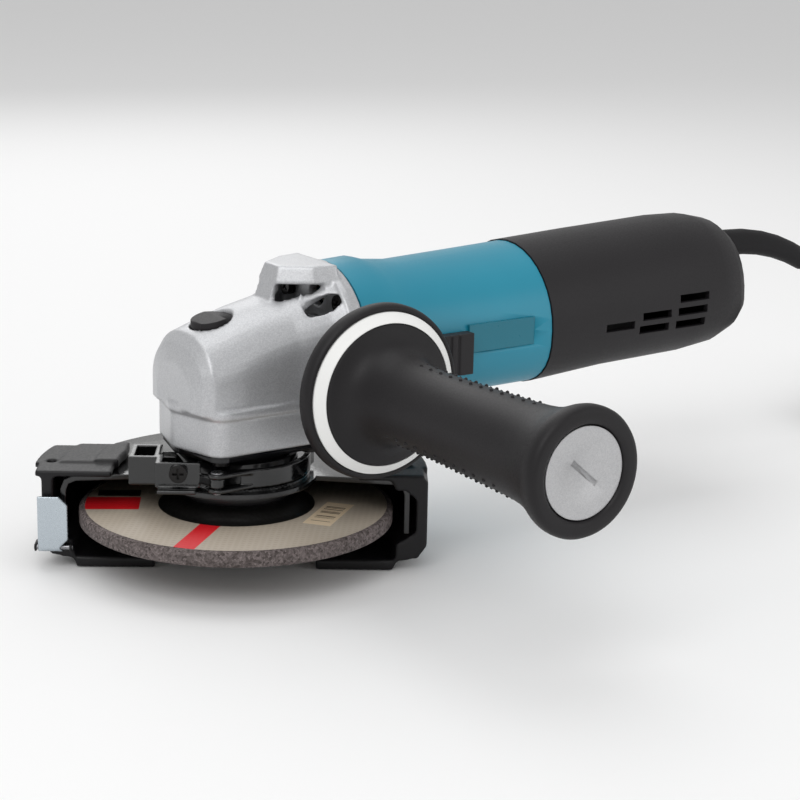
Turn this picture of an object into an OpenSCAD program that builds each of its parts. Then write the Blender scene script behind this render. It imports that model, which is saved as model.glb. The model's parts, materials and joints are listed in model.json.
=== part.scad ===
// Angle grinder with a clamped wheel guard, a clip-on cutting cover and a side handle.
// +Z up, nose towards -X, side handle towards -Y. The origin is the spindle's free end.
// All sizes in millimetres.

/* [Wheel and spindle] */
// Diameter of the grinding wheel
wheel_d = 125; // [100:1:130]
// Thickness of the grinding wheel
wheel_t = 6; // [3:0.5:8]
// How far the wheel's centre is raised above its rim
hub_rise = 4.8; // [3:0.1:5]
// Diameter of the wheel's hole
wheel_bore = 22.2; // [20:0.1:24]
// Radius of the spindle's thread
thread_r = 7; // [6:0.5:8]
// Length of thread left showing under the lock nut
thread_free = 3; // [2:0.5:5]
// Radius of the inner flange that the wheel is clamped to
flange_r = 21.7; // [18:0.1:23]
// Height of the inner flange
flange_h = 7.4; // [6:0.1:9]

/* [Bearing box and guard] */
// Radius of the neck that the guard turns on
neck_r = 21.5; // [19:0.5:22]
// Height of the neck
neck_h = 12; // [11:0.5:14]
// Gap between the guard's collar and the neck
collar_gap = 0.3; // [0.2:0.05:0.6]
// Wall of the guard's collar
collar_wall = 2.5; // [2:0.1:3]
// Outer radius of the steel guard
guard_r = 69.5; // [66:0.5:70]
// Thickness of the guard's sheet steel
guard_wall = 2; // [1.5:0.1:2.5]
// Depth of the guard's skirt
guard_depth = 22; // [18:1:22]
// Angle of the guard's open side from straight left
guard_turn = 33; // [0:1:60]
// Half width of the clip-on cutting cover
cover_r = 76; // [75:0.5:80]
// How far the cover's frame stands in front of the spindle
cover_front = 12; // [8:1:16]
// Level of the surface that the cover rests on
floor_z = -15; // [-20:0.5:-14]
// Radius of the cover's cut-out under the spindle
cover_notch_r = 32; // [26:1:36]

/* [Gear housing] */
// Half width of the gear housing
head_w = 24.8; // [23:0.1:27]
// Distance from the spindle to the nose
nose_x = 29; // [27:0.5:34]
// Length from the spindle to the joint with the motor housing
head_back = 40.5; // [38:0.5:44]
// Wall of the gear housing
head_wall = 3; // [2:0.25:4]
// Teeth on the bevel gear
gear_teeth = 37; // [30:1:40]
// Teeth on the pinion
pinion_teeth = 11; // [9:1:13]

/* [Motor] */
// Height of the motor's axis
axis_z = 70.7; // [69:0.1:73]
// Radius of the motor housing at its back edge
body_r = 33; // [31:0.5:36]
// Distance from the spindle to the seam behind the motor housing
seam_x = 131; // [125:1:140]
// Distance from the spindle to the tail
tail_x = 249; // [240:1:260]
// Wall of the plastic housings
shell_wall = 2.5; // [2:0.25:3]
// Outer radius of the field core
field_r = 23.6; // [22:0.2:24]
// Radius of the armature core
armature_r = 15; // [13:0.25:16]
// Radius of the armature shaft
shaft_r = 4; // [3.5:0.25:5]

/* [Side handle] */
// Distance from the spindle to the handle's axis
handle_x = 31.2; // [29:0.1:33]
// Height of the handle's axis
handle_z = 63; // [61:0.5:65]
// How far the handle's end stands out to the side
handle_reach = 180; // [160:1:190]
// Radius of the handle's hand guard
hand_guard_r = 34.4; // [30:0.2:36]
// Radius of the handle's middle
grip_r = 16.5; // [14:0.5:18]
// Radius of the threaded hole for the handle on the free side
handle_hole_r = 3.4; // [3:0.1:4]
// Depth of that threaded hole
handle_hole_depth = 14; // [10:1:16]

/* [Cord] */
// Diameter of the cord
cord_d = 8; // [6:0.5:9]
// Radius of the coil at the middle of its turns
coil_r = 45; // [40:1:56]
// Radius of a plug pin
pin_r = 2.4; // [2:0.1:2.5]
// Length of a plug pin
pin_len = 19; // [16:1:20]

/* [Hidden] */
$fn = 64;
run_gap = 0.05;

// Levels on the spindle
wheel_low = thread_free;
wheel_top = wheel_low + wheel_t;
seat_z = wheel_top + hub_rise;
hub_low = seat_z - wheel_t;
flange_top = seat_z + flange_h;
neck_low = flange_top + 0.8;
box_plate_t = 2.4;
box_plate_low = neck_low + neck_h - 0.2;
head_low = box_plate_low + box_plate_t;
ledge_z = head_low + 15;
spindle_r = 7.5;
gear_seat_r = 6;
spindle_top_r = 4;
spindle_top = axis_z + 4.6;
upper_bearing_r = 6;
bridge_r = 7.8;
bridge_top = axis_z + 5.2;
lower_bearing_r = 17;

// Bevel gears: both cones meet where the spindle's axis crosses the motor's
module_size = 1.135;
gear_pitch_r = module_size * gear_teeth / 2;
pinion_pitch_r = module_size * pinion_teeth / 2;
face_share = 0.29;
mesh_inner = 1 - face_share;
gear_web_r = gear_pitch_r * mesh_inner - 1.2;
gear_web_top = axis_z - 8.2;
gear_low = axis_z - pinion_pitch_r - 5.2;
lock_hole_r = 2.8;
lock_pin_r = 2.2;
lock_spring_r = lock_pin_r + 1.2;
lock_x = -10.4;
lock_guide_top = axis_z + 4.3;
button_x = -11.5;
button_r = 8;
button_low = lock_guide_top + 5;
button_top = 86.6;

// Guard levels
plate_top = neck_low - 0.2;
plate_low = plate_top - guard_wall;
skirt_low = plate_top - guard_depth;
collar_in = neck_r + collar_gap;
collar_out = collar_in + collar_wall;
box_screw_head_h = 1.9;
collar_high = box_plate_low - box_screw_head_h - 0.4;
cover_wall = 4.5;
cover_base_t = 4.4;
cover_clip_low = plate_top + 0.3;
cover_clip_high = cover_clip_low + 2.4;
cover_lug_r = cover_r + 4;
clip_in_r = 47;
guard_sweep = 196;
bracket_high = box_plate_low - 0.5;

// Lever pivot, in the guard's own directions
lever_pivot = [-5.7, -33.2];
lever_in = 26.8;
lever_t = 2.6;
lever_low = plate_top + 1.8;
lever_high = collar_high - 0.6;
fork_t = 1.5;
knuckle_r = 2.9;
lever_axle_r = 1.5;
clamp_screw_x = -20.9;
clamp_screw_z = 29.6;
tab_front = -28.3;

// Latch on the cover's left frame, in the guard's own directions
latch_left = -77.4;
latch_right = -65.5;
latch_axle_y = -cover_front - 1.9;
latch_axle_z = floor_z + 8.9;
latch_axle_r = 1;
latch_h = 21;

// Body sections: [x, half width, height over the axis, depth under it, top power, bottom power]
motor_front_x = head_back + 0.4;
housing_screw_r = 27.6;
housing_screw_turns = [45 : 90 : 315];
function motor_rings(w) = [
    [motor_front_x, body_r - w, 32.5 - w, 29.5 - w, 2, 2.2],
    [53, body_r - w, 33.2 - w, 28.5 - w, 2, 2.3],
    [60, body_r - 1 - w, 31.2 - w, 28 - w, 2, 2.3],
    [72, body_r - 2 - w, 30 - w, 27.5 - w, 2, 2.4],
    [104, body_r - 0.6 - w, 31.3 - w, 27 - w, 2, 2.5],
    [seam_x, body_r - w, 32.5 - w, 26.5 - w, 2, 2.5]];
function rear_rings(w) = [
    [seam_x + 0.3, body_r + 0.6 - w, 33.1 - w, 26.8 - w, 2, 2.5],
    [168, body_r + 0.4 - w, 34.8 - w, 24 - w, 2.1, 2.5],
    [212, body_r - w, 36.4 - w, 22.8 - w, 2.2, 2.5],
    [229, body_r - 1.5 - w, 36 - w, 21 - w, 2.2, 2.5],
    [tail_x - 9 - w * 0.5, body_r - 4.5 - w, 33.5 - w, 17 - w, 2.2, 2.4],
    [tail_x - 3 - w, body_r - 8.5 - w, 29.5 - w, 11.5 - w, 2.2, 2.3],
    [tail_x - w, body_r - 14 - w, 24 - w, 6 - w, 2.1, 2.2]];

// Arch sections of the gear housing: [x, half width, shoulder height, top height]
function head_rings(w) = [
    [-nose_x + 0.5 + w, 13 - w, 59, 70 - w],
    [-nose_x + 2.2 + w, 20 - w, 60.5, 77 - w],
    [-nose_x + 6 + w, head_w - 1.8 - w, 62, 81.5 - w],
    [-10, head_w - 0.9 - w, 63.5, 86 - w],
    [0, head_w - 0.6 - w, 66, 89 - w],
    [14, head_w + 0.4 - w, 69, 92 - w],
    [28, head_w + 4.2 - w, axis_z, 98 - w],
    [36.5 + w * 0.3, body_r - 0.2 - w, axis_z, axis_z + 32.3 - w]];

// Handle profile along its axis: [distance from the spindle's plane, radius]
box_screw_places = [[-17.5, -18.3], [-17.5, 18.3], [22.5, -18.3], [22.5, 18.3]];
ring_out_y = 57.6;
ring_in_y = 60.6;
ring_out_r = 31.6;
ring_in_r = 27.8;
cap_r = 16.4;

// Cord: leaves the tail, falls to the resting surface and joins the coil's outer bottom turn
relief_path = [[240, 0, 90.6], [245, 0, 90.7], [254, 0, 91.2], [265, 0, 91], [276, 0, 89.4], [286, 0, 86.8],
    [295, 0, 83.4], [304, 0, 79]];
lead_path = [[304, 0, 79], [313, -0.3, 73.4], [321.5, -1, 66.4], [329, -2.2, 58.2],
    [335.5, -4, 49.2], [341.2, -6.4, 39.8], [346.4, -9.4, 30.4], [351.4, -13, 21.2],
    [356.6, -17.2, 12.6], [362.2, -21.8, 4.8], [368.6, -26.6, -2], [376, -31.4, -7],
    [384.4, -35.8, -10], [393.2, -39.4, -11], [402, -41.8, -11], [410, -42.6, -11]];
coil_centre = [410, 10.4];
coil_layers = 3;
coil_columns = 3;
boot_path = [[452, 17.2, 20.5], [452, 9.8, 20], [451.6, 1.8, 18], [450.6, -6.2, 14.6],
    [449, -13.7, 10.6]];
plug_w = 30;
plug_h = 23;
plug_len = 42;

// One ring of points across the body, as seen along the motor's axis
body_n = 36;
function power(v, p) = sign(v) * pow(abs(v), 2 / p);
function body_ring(s) = [for (i = [0 : body_n - 1]) let (a = 360 * i / body_n)
    [s[0], s[1] * power(cos(a), sin(a) > 0 ? s[4] : s[5]),
     axis_z + (sin(a) > 0 ? s[2] * power(sin(a), s[4]) : s[3] * power(sin(a), s[5]))]];
head_n = 24;
function head_ring(s, low) = concat(
    [for (i = [0 : head_n]) let (a = 180 * i / head_n)
        [s[0], s[1] * power(cos(a), 2.3), s[2] + (s[3] - s[2]) * power(sin(a), 2.1)]],
    [[s[0], -s[1], low], [s[0], s[1], low]]);

// A closed solid through rings that all have the same count of points
module loft(rings) {
    n = len(rings[0]);
    m = len(rings);
    points = [for (ring = rings) each ring];
    sides = [for (j = [0 : m - 2]) for (i = [0 : n - 1]) let (k = (i + 1) % n)
        each [[j * n + i, (j + 1) * n + k, j * n + k], [j * n + i, (j + 1) * n + i, (j + 1) * n + k]]];
    first = [for (i = [0 : n - 1]) i];
    last = [for (i = [n - 1 : -1 : 0]) (m - 1) * n + i];
    polyhedron(points, concat([first], sides, [last]), convexity = 6);
}

// A round tube along a path, with a radius for each point
function unit(v) = v / norm(v);
function heading(path, i) = unit(path[min(i + 1, len(path) - 1)] - path[max(i - 1, 0)]);
function tube_ring(p, dir, r, n) = let (
    side = unit(cross(dir, [0.13, 0.3, 1])), top = cross(side, dir))
    [for (i = [0 : n - 1]) p + r * (cos(360 * i / n) * top + sin(360 * i / n) * side)];
module tube(path, r0, r1, n) {
    last = len(path) - 1;
    loft([for (i = [0 : last]) tube_ring(path[i], heading(path, i), r0 + (r1 - r0) * i / last, n)]);
}

module ring_solid(r_in, r_out, low, high) {
    translate([0, 0, low]) difference() {
        cylinder(r = r_out, h = high - low);
        translate([0, 0, -1]) cylinder(r = r_in, h = high - low + 2);
    }
}
// Turns a solid drawn along +Z so that it lies along +X from the given x, on the motor's axis
module on_motor_axis(x) {
    translate([x, 0, axis_z]) rotate([0, 90, 0]) children();
}
// Turns a solid drawn along +Z so that it lies along -Y, on the handle's axis
module on_handle_axis() {
    translate([handle_x, 0, handle_z]) rotate([90, 0, 0]) children();
}
module in_guard() {
    rotate([0, 0, -guard_turn]) children();
}

// Plan outline of the gear housing's lower part, grown by a margin
module head_outline(grow) {
    corner = 7.5;
    hull() {
        for (side = [-1, 1]) {
            translate([-nose_x + 12.2, side * (head_w - corner)]) circle(r = corner + grow, $fn = 40);
            translate([32, side * (head_w - 5)]) circle(r = 5 + grow, $fn = 24);
        }
        translate([-nose_x + 9, 0]) circle(r = 9 + grow, $fn = 40);
    }
}

// A pan head screw along -Z with its head's face at z = 0
module pan_screw(head_r, head_h, shank_r, length) {
    difference() {
        union() {
            translate([0, 0, -head_h]) cylinder(r = head_r, h = head_h);
            translate([0, 0, -length]) cylinder(r = shank_r, h = length);
        }
        for (turn = [0, 90]) rotate([0, 0, turn])
            translate([-head_r * 0.62, -head_r * 0.13, -head_h * 0.55])
                cube([head_r * 1.24, head_r * 0.26, head_h]);
    }
}

// Vent dome on top of the head, a fan-shaped block with two tiers of louvres
dome_low = 78;
dome_top = 104.6;
module dome_block(w) {
    hull() {
        translate([0, 0, dome_low]) linear_extrude(0.5) polygon([[7 + w, -11], [7 + w, 11],
            [24, 22 - w], [37, 24 - w], [37, -24 + w], [24, -22 + w]]);
        translate([0, 0, dome_top - 0.5 - w]) linear_extrude(0.5) polygon([[15.5 + w, -5],
            [15.5 + w, 5], [27, 13 - w], [37, 15 - w], [37, -15 + w], [27, -13 + w]]);
    }
}
louvre_tiers = [[80, 87.4], [90.4, 97.6]];
module dome_slots() {
    for (tier = louvre_tiers) for (side = [-1, 1]) for (fan = [16, 52])
        translate([34, side * 4.5, tier[0]]) rotate([0, 0, side * (180 - fan)])
            translate([4, -4.6, 0]) cube([40, 9.2, tier[1] - tier[0]]);
}

module gear_housing() {
    color("silver") difference() {
        union() {
            translate([0, 0, head_low]) linear_extrude(ledge_z - head_low) head_outline(0);
            translate([0, 0, ledge_z]) linear_extrude(3) head_outline(0.8);
            loft([for (s = head_rings(0)) head_ring(s, ledge_z + 1)]);
            difference() {
                dome_block(0);
                dome_slots();
            }
            on_motor_axis(34) cylinder(r = body_r, h = head_back - 34);
            for (side = [0, 180]) translate([handle_x, 0, handle_z]) rotate([90, 0, side])
                cylinder(r = 12.5, h = 38.5);
        }
        translate([0, 0, head_low - 1]) linear_extrude(ledge_z - head_low + 3)
            head_outline(-head_wall);
        loft([for (s = head_rings(head_wall)) head_ring(s, ledge_z + 0.5)]);
        dome_block(2.4);
        on_motor_axis(33) cylinder(r = body_r - 3, h = head_back - 32);
        on_handle_axis() translate([0, 0, head_w]) cylinder(r = 4, h = 40);
        translate([handle_x, 38.5 + 1, handle_z]) rotate([90, 0, 0])
            cylinder(r = handle_hole_r, h = handle_hole_depth + 1);
        translate([button_x, 0, axis_z]) cylinder(r = button_r + 0.35, h = 40);
        for (a = housing_screw_turns) on_motor_axis(20) rotate([0, 0, a])
            translate([housing_screw_r, 0, 0]) {
                cylinder(r = 4, h = 16.5);
                cylinder(r = 2, h = 30);
            }
        translate([head_back, -60, 0]) cube([20, 120, 120]);
    }
    // Bosses for the bearing box's screws
    color("silver") for (p = box_screw_places) translate([p[0], p[1], head_low])
        ring_solid(2, 4, 0, 12);
    // Bridge that carries the upper bearing and guides the lock pin
    color("silver") difference() {
        union() {
            translate([0, 0, axis_z - 1]) cylinder(r = bridge_r, h = bridge_top - axis_z + 1);
            translate([-2, -19.4, bridge_top - 4]) cube([4, 38.8, 4]);
            translate([lock_x - 5, -5, lock_guide_top - 3]) cube([9, 10, 3]);
        }
        translate([0, 0, axis_z - 2]) cylinder(r = upper_bearing_r, h = 12);
        translate([lock_x, 0, axis_z - 2]) cylinder(r = lock_pin_r + run_gap, h = 12);
        translate([lock_x, 0, lock_guide_top]) cylinder(r = lock_spring_r + 0.4, h = 12);
    }
    // Wall that carries the front bearing
    color("silver") on_motor_axis(head_back - 3.7) difference() {
        cylinder(r = body_r - 2.8, h = 3.4);
        translate([0, 0, -1]) cylinder(r = 11, h = 6);
        for (a = [0 : 90 : 270]) rotate([0, 0, a]) translate([20, 0, -1]) cylinder(r = 5, h = 6);
        for (a = housing_screw_turns) rotate([0, 0, a]) translate([housing_screw_r, 0, -1])
            cylinder(r = 2, h = 6);
    }
}

module bearing_box() {
    color("dimgray") {
        ring_solid(lower_bearing_r, neck_r, neck_low + 1.4, box_plate_low);
        ring_solid(12, neck_r, neck_low, neck_low + 1.4);
        translate([0, 0, box_plate_low]) difference() {
            linear_extrude(box_plate_t) head_outline(-1.4);
            translate([0, 0, -1]) cylinder(r = lower_bearing_r, h = box_plate_t + 2);
            translate([handle_x + 3, -40, -1]) cube([20, 80, box_plate_t + 2]);
            for (p = box_screw_places) translate([p[0], p[1], -1]) cylinder(r = 2, h = 6);
        }
        ring_solid(lower_bearing_r, neck_r - 1, head_low, head_low + 4);
    }
}

module box_screws() {
    color("black") for (p = box_screw_places)
        translate([p[0], p[1], box_plate_low - box_screw_head_h]) rotate([180, 0, 0])
            pan_screw(3.2, box_screw_head_h, 2, 13);
}

module housing_screws() {
    color("black") for (a = housing_screw_turns) on_motor_axis(33.5) rotate([0, 0, a])
        translate([housing_screw_r, 0, 0]) rotate([180, 0, 0]) pan_screw(3.4, 3, 2, 16);
}

// The same rings with their open ends moved out, so that they cut right through
function open_ends(rings, front, back) = [for (i = [0 : len(rings) - 1]) let (s = rings[i])
    [s[0] - (i == 0 ? front : 0) + (i == len(rings) - 1 ? back : 0), s[1], s[2], s[3], s[4], s[5]]];

knob_x = 66;
knob_len = 22;
knob_z = 59;
knob_h = 17;
knob_travel = 6;
knob_in_y = -body_r + 0.5;
stem_x = 72;
stem_z = 57;
label_x = 89;
label_z = 66.5;
label_size = [33, 11.5];
rod_y = -24.8;
rod_t = 2;
module motor_housing() {
    color("teal") difference() {
        loft([for (s = motor_rings(0)) body_ring(s)]);
        loft([for (s = open_ends(motor_rings(shell_wall), 1, 1)) body_ring(s)]);
        translate([stem_x - knob_travel - 0.5, -body_r - 3, stem_z - 0.4]) cube([15, 12, 4.8]);
        translate([label_x, -body_r - 5, label_z]) cube([label_size[0], 6.6, label_size[1]]);
        for (a = housing_screw_turns) on_motor_axis(30) rotate([0, 0, a])
            translate([housing_screw_r, 0, 0]) cylinder(r = 2, h = 24);
    }
    // Screw bosses behind the gear housing
    color("teal") for (a = housing_screw_turns) on_motor_axis(motor_front_x) rotate([0, 0, a])
        translate([housing_screw_r - 1, 0, 0]) difference() {
            translate([0, -3.4, 0]) cube([4.7, 6.8, 10]);
            translate([1, 0, -1]) cylinder(r = 2, h = 12);
        }
    // Spider and cup for the rear bearing
    color("teal") on_motor_axis(0) difference() {
        union() {
            translate([0, 0, 124]) cylinder(r = body_r - 6.6, h = 2.5);
            for (side = [-1, 1]) translate([side * 12.2 - 1.7, -4, 124]) cube([3.4, 8, 32]);
            translate([0, 0, 148]) cylinder(r = 12.5, h = 8);
        }
        translate([0, 0, 120]) cylinder(r = 10.4, h = 28);
        translate([0, 0, 140]) cylinder(r = 9.5, h = 20);
        translate([-21, 0, 0]) for (a = [0, 1]) translate([a * 42, 0, 120]) cylinder(r = 3, h = 10);
        translate([-5.2, -40, 120]) cube([10.4, 80, 10]);
        for (side = [-1, 1]) translate([8, side * 21 - 6, 120]) cube([8, 12, 10]);
    }
}

// Vent slots on each side of the rear cover: [x, height, length]
vent_slots = [[201, 77, 17], [200, 71.4, 17], [180, 71.4, 16], [199, 65.8, 17], [178.5, 65.8, 16.5],
    [160, 68.6, 15.5]];
slot_h = 3.4;
exit_z = 91;
relief_r = 6.6;
module rear_cover() {
    color("dimgray") difference() {
        loft([for (s = rear_rings(0)) body_ring(s)]);
        loft([for (s = open_ends(rear_rings(shell_wall), 1, 0)) body_ring(s)]);
        for (v = vent_slots) translate([v[0], -60, v[1] - slot_h / 2]) cube([v[2], 120, slot_h]);
        translate([tail_x - 12, 0, exit_z]) rotate([0, 90, 0]) cylinder(r = relief_r + 0.2, h = 20);
        translate([150, 0, 30]) cylinder(r = 3.6, h = 16.4);
        translate([150, 0, 30]) cylinder(r = 1.6, h = 22);
    }
}

module cover_screw() {
    color("black") translate([150, 0, 44.9]) rotate([180, 0, 0]) pan_screw(3.3, 1.5, 1.6, 8);
}

module label_plate() {
    color("darkcyan") translate([label_x, -body_r + 0.4, label_z])
        cube([label_size[0], 1.2, label_size[1]]);
}

stack_x = 68;
stack_len = 44;
module field_core() {
    color("gray") on_motor_axis(stack_x) difference() {
        cylinder(r = field_r, h = stack_len);
        translate([0, 0, -1]) cylinder(r = armature_r + 0.8, h = stack_len + 2);
        for (side = [-1, 1]) translate([-6, side * 18.5 - 2.2, -1]) cube([12, 4.4, stack_len + 2]);
    }
}

module field_coils() {
    color("orangered") for (x = [stack_x - 7, stack_x + stack_len]) on_motor_axis(x)
        for (side = [0, 180]) rotate([0, 0, side - 60]) rotate_extrude(angle = 120)
            translate([armature_r + 1.4, 0]) square([field_r - armature_r - 3, 7]);
}

brush_x = 129;
module brush_holders() {
    color("goldenrod") for (side = [-1, 1]) translate([brush_x, side * 19.5, axis_z])
        difference() {
            cube([10, 17, 10], center = true);
            cube([6.6, 18, 6.6], center = true);
        }
}

commutator_r = 9.5;
module carbon_brushes() {
    color("black") for (side = [-1, 1]) difference() {
        translate([brush_x, side * 15.6, axis_z]) cube([6.4, 13, 6.4], center = true);
        on_motor_axis(brush_x - 10) cylinder(r = commutator_r + 0.2, h = 20);
    }
}

module brush_springs() {
    color("silver") for (side = [-1, 1]) translate([brush_x, side * 25, axis_z])
        rotate([90, 0, 0]) translate([0, 0, -2.9]) ring_solid(1.6, 2.8, 0, 5.8);
}

switch_x = 160;
module switch_block() {
    color("black") translate([switch_x, -13, 58]) cube([34, 24, 27]);
}

module air_baffle() {
    color("black") on_motor_axis(59) difference() {
        cylinder(r = 25, h = 2);
        translate([0, 0, -1]) cylinder(r = 17, h = 4);
        translate([9, -27, -1]) cube([9, 10, 4]);
    }
}

clamp_x = 222;
module cord_clamp() {
    color("black") translate([clamp_x, 0, exit_z]) difference() {
        translate([0, -10, -8]) cube([9, 20, 16]);
        translate([-1, 0, 0]) rotate([0, 90, 0]) cylinder(r = cord_d / 2, h = 12);
    }
}

module cord_guard() {
    color("black") {
        translate([tail_x - 10.5, 0, relief_path[0][2]]) rotate([0, 90, 0]) cylinder(r = 7.6, h = 2.5);
        tube(relief_path, relief_r, 4.9, 20);
    }
}

module lock_spring() {
    color("silver") translate([lock_x, 0, 0])
        ring_solid(lock_pin_r + 0.3, lock_spring_r, lock_guide_top, button_low);
}

module upper_bearing() {
    color("silver") ring_solid(spindle_top_r + run_gap, upper_bearing_r, axis_z - 1, bridge_top - 0.6);
}

module lower_bearing() {
    color("silver") ring_solid(spindle_r + run_gap, lower_bearing_r, neck_low + 1.4, neck_low + 12.4);
}

bearing_x = head_back - 6.4;
module front_bearing() {
    color("silver") on_motor_axis(bearing_x) ring_solid(shaft_r + run_gap, 11, 0, 6);
}

module rear_bearing() {
    color("silver") on_motor_axis(149) ring_solid(shaft_r + run_gap, 9.5, 0, 7);
}

stud_r = 4;
boss_end = 38.5;
collar_end = 50;
stud_end = 68;
module handle_stud() {
    color("silver") on_handle_axis() translate([0, 0, head_w + 1])
        cylinder(r = stud_r, h = stud_end - head_w - 1);
}

module handle_collar() {
    color("dimgray") on_handle_axis() {
        ring_solid(stud_r, 13, boss_end, boss_end + 3);
        ring_solid(stud_r, 11, boss_end + 3, collar_end);
    }
}

cap_face = handle_reach - 1.2;
cap_back = handle_reach - 4;
module handle_grip() {
    color("black") on_handle_axis() rotate_extrude() polygon([[stud_r, collar_end],
        [hand_guard_r - 2.5, collar_end], [hand_guard_r, collar_end + 2.5],
        [hand_guard_r, ring_out_y - 2.4], [ring_out_r + 1, ring_out_y], [ring_out_r, ring_out_y - 0.2],
        [ring_out_r, ring_out_y - 1], [ring_in_r, ring_in_y - 1], [ring_in_r, ring_in_y - 0.2],
        [grip_r + 5, ring_in_y + 1.6], [grip_r + 1.5, ring_in_y + 5], [grip_r - 0.5, ring_in_y + 14],
        [grip_r - 0.8, ring_in_y + 30], [grip_r, ring_in_y + 60], [grip_r + 1, handle_reach - 26],
        [grip_r + 2.6, handle_reach - 16], [grip_r + 6, handle_reach - 8],
        [grip_r + 7, handle_reach - 4.5], [grip_r + 6.8, handle_reach - 1.5],
        [grip_r + 5.4, handle_reach], [cap_r + 0.8, handle_reach], [cap_r, cap_face],
        [cap_r, cap_back], [0, cap_back], [0, stud_end], [stud_r, stud_end]]);
}

module handle_ring() {
    color("white") on_handle_axis() rotate_extrude() polygon([[ring_out_r, ring_out_y - 1],
        [ring_out_r, ring_out_y], [ring_in_r, ring_in_y], [ring_in_r, ring_in_y - 1]]);
}

module handle_cap() {
    color("lightgray") on_handle_axis() difference() {
        translate([0, 0, cap_back]) cylinder(r = cap_r, h = cap_face - cap_back);
        rotate([0, 0, -40]) translate([-7, -1.1, cap_face - 1.2]) cube([14, 2.2, 3]);
    }
}

module cord_lead() {
    color("black") tube(lead_path, cord_d / 2, cord_d / 2, 10);
}

coil_w = coil_columns * cord_d;
coil_h = coil_layers * cord_d;
module cord_coil() {
    color("black") translate([coil_centre[0], coil_centre[1], floor_z])
        rotate_extrude() translate([coil_r - coil_w / 2, 0])
            polygon([[2, 0], [coil_w - 2, 0], [coil_w, 2], [coil_w, coil_h - 2],
                [coil_w - 2, coil_h], [2, coil_h], [0, coil_h - 2], [0, 2]]);
}

plug_x = boot_path[0][0];
plug_z = boot_path[0][2];
plug_back = boot_path[0][1];
module plug_boot() {
    color("black") tube(boot_path, 6.2, 4.8, 16);
}

module plug_body() {
    color("black") translate([plug_x, plug_back, plug_z]) rotate([-90, 0, 0])
        linear_extrude(plug_len) hull() for (side = [-1, 1])
            translate([side * (plug_w - plug_h) / 2, 0]) circle(r = plug_h / 2, $fn = 40);
}

module plug_pins() {
    color("silver") for (side = [-1, 1])
        translate([plug_x + side * 9.5, plug_back + plug_len, plug_z]) rotate([-90, 0, 0])
            cylinder(r = pin_r, h = pin_len);
}

module spindle() {
    color("silver") rotate_extrude() polygon([[0, 0], [thread_r, 0], [thread_r, thread_free],
        [thread_r - 0.2, thread_free], [thread_r - 0.2, seat_z], [thread_r + 1, seat_z],
        [thread_r + 1, flange_top], [spindle_r, flange_top], [spindle_r, neck_low + 12.6],
        [spindle_r + 1.5, neck_low + 12.6], [spindle_r + 1.5, neck_low + 15],
        [spindle_r, neck_low + 15], [spindle_r, gear_low], [gear_seat_r, gear_low],
        [gear_seat_r, gear_web_top + 2.5], [spindle_top_r, gear_web_top + 2.5],
        [spindle_top_r, spindle_top], [0, spindle_top]]);
}

// One straight bevel tooth on the cone with pitch point [x, z], its tip along [nx, nz]
add_h = 0.72 * module_size;
ded_h = 1.15 * module_size;
module bevel_tooth(tip_half, root_half) {
    cone = norm([gear_pitch_r, pinion_pitch_r]);
    up = [pinion_pitch_r / cone, gear_pitch_r / cone];
    base = [gear_pitch_r, -pinion_pitch_r];
    tip = base + add_h * up;
    root = base - (ded_h + 0.4) * up;
    outer = [[root[0], -root_half, root[1]], [root[0], root_half, root[1]],
        [tip[0], tip_half, tip[1]], [tip[0], -tip_half, tip[1]]];
    points = concat(outer, [for (p = outer) p * mesh_inner]);
    polyhedron(points, [[3, 2, 1, 0], [4, 5, 6, 7], [1, 5, 4, 0], [2, 6, 5, 1], [3, 7, 6, 2],
        [0, 4, 7, 3]]);
}

root_drop = ded_h * gear_pitch_r / norm([gear_pitch_r, pinion_pitch_r]);
module bevel_gear() {
    tooth_root = axis_z - pinion_pitch_r - root_drop;
    inner_root = axis_z - (pinion_pitch_r + root_drop) * mesh_inner;
    color("slategray") {
        difference() {
            rotate_extrude() polygon([[gear_seat_r, gear_low], [gear_pitch_r, gear_low],
                [gear_pitch_r, tooth_root], [gear_pitch_r * mesh_inner, inner_root],
                [gear_web_r, inner_root], [gear_web_r, gear_web_top],
                [gear_seat_r, gear_web_top]]);
            for (a = [0 : 90 : 270]) rotate([0, 0, a]) translate([lock_x, 0, gear_low - 1])
                cylinder(r = lock_hole_r, h = 10);
        }
        translate([0, 0, axis_z]) for (i = [0 : gear_teeth - 1])
            rotate([0, 0, 360 * (i + 0.5) / gear_teeth])
                bevel_tooth(0.4 * module_size, 1.05 * module_size);
    }
}

module inner_flange() {
    color("dimgray") rotate_extrude() polygon([[thread_r + 1, seat_z], [flange_r - 0.6, seat_z],
        [flange_r, seat_z + 0.6], [flange_r, seat_z + 4], [flange_r - 0.8, seat_z + 4.6],
        [flange_r - 0.8, flange_top - 0.6], [flange_r - 1.4, flange_top], [thread_r + 1, flange_top]]);
}

module grinding_wheel() {
    wheel_r = wheel_d / 2;
    color("saddlebrown") rotate_extrude() polygon([[wheel_bore / 2, hub_low], [22.5, hub_low],
        [30, wheel_low], [wheel_r - 0.5, wheel_low], [wheel_r, wheel_low + 0.5],
        [wheel_r, wheel_top - 1], [wheel_r - 1, wheel_top], [31, wheel_top], [24, seat_z],
        [wheel_bore / 2, seat_z]]);
}

nut_r = 20;
module lock_nut() {
    color("dimgray") difference() {
        rotate_extrude() polygon([[thread_r, thread_free], [nut_r - 1, thread_free],
            [nut_r, thread_free + 1], [nut_r, hub_low], [wheel_bore / 2 - 0.1, hub_low],
            [wheel_bore / 2 - 0.1, hub_low + 2.6], [thread_r, hub_low + 2.6]]);
        for (a = [0 : 90 : 270]) rotate([0, 0, a]) translate([14.5, 0, thread_free - 1])
            cylinder(r = 2.4, h = 4);
    }
}

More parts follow.
